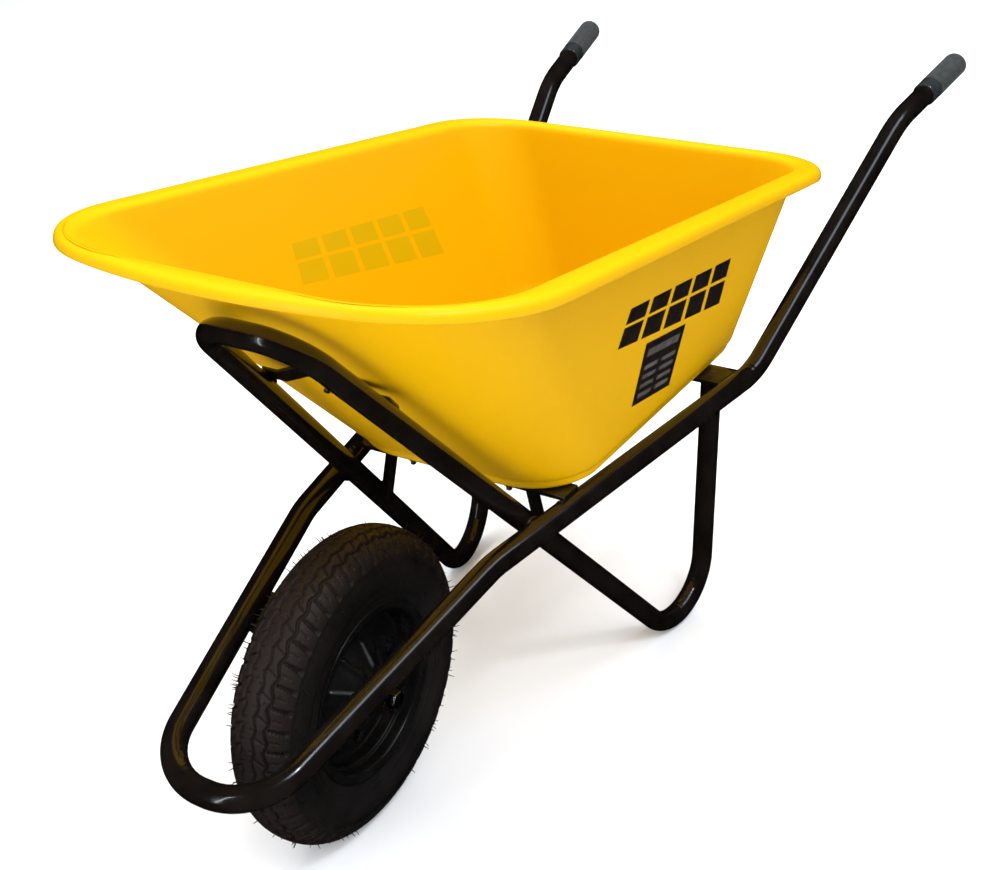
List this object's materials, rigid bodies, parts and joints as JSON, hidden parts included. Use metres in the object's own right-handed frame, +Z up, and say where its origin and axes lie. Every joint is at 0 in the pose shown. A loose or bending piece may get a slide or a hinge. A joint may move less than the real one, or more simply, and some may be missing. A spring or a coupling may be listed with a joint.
{
  "type": "wheelbarrow",
  "caption": "Builder's wheelbarrow with a deep yellow plastic tray, a bent black tube frame with grips and legs, and one air-filled wheel that turns on its axle.",
  "frame": {"origin": "on the ground, under the middle of the whole object's box", "axes": "+X forward, from the handles to the wheel; +Y to the pusher's left; +Z up"},
  "size_m": [1.4882, 0.6466, 0.7661],
  "materials": {
    "tray_plastic": "moulded, semi-gloss",
    "frame_paint": "gloss black paint",
    "wheel_paint": "gloss black paint",
    "zinc_steel": "zinc plated",
    "plain_steel": "plain",
    "bearing_steel": "ground",
    "tyre_rubber": "moulded rubber",
    "tube_rubber": "soft rubber",
    "black_plastic": "moulded",
    "grip_rubber": "fine grain"
  },
  "bodies": {
    "frame": {"main_frame_tube": "frame_paint", "leg_frame_tube": "frame_paint", "front_strap": "frame_paint", "mid_strap": "frame_paint", "rear_strap": "frame_paint", "strut_left": "frame_paint", "strut_right": "frame_paint", "axle_bracket_left": "frame_paint", "axle_bracket_right": "frame_paint", "axle_bolt": "zinc_steel", "axle_nut": "zinc_steel", "axle_washers": "zinc_steel", "tray_bolts": "zinc_steel", "tray_washers": "zinc_steel", "tray_nuts": "zinc_steel", "tray": "tray_plastic", "axle_spacers": "plain_steel", "axle_sleeve": "plain_steel", "bearing_inner_rings": "bearing_steel", "grip_left": "grip_rubber", "grip_right": "grip_rubber"},
    "wheel": {"hub_tube": "wheel_paint", "rim_half_left": "wheel_paint", "rim_half_right": "wheel_paint", "rim_bolts": "zinc_steel", "rim_nuts": "zinc_steel", "tyre": "tyre_rubber", "inner_tube": "tube_rubber", "valve_stem": "tube_rubber", "valve_cap": "black_plastic", "bearing_outer_rings": "bearing_steel", "bearing_balls": "bearing_steel", "bearing_shields": "plain_steel"}
  },
  "joints": [
    {"name": "wheel_spin", "type": "hinge", "parent": "frame", "child": "wheel", "pos_m": [0.4731, 0, 0.19], "axis": [0, 1, 0], "continuous": true}
  ]
}
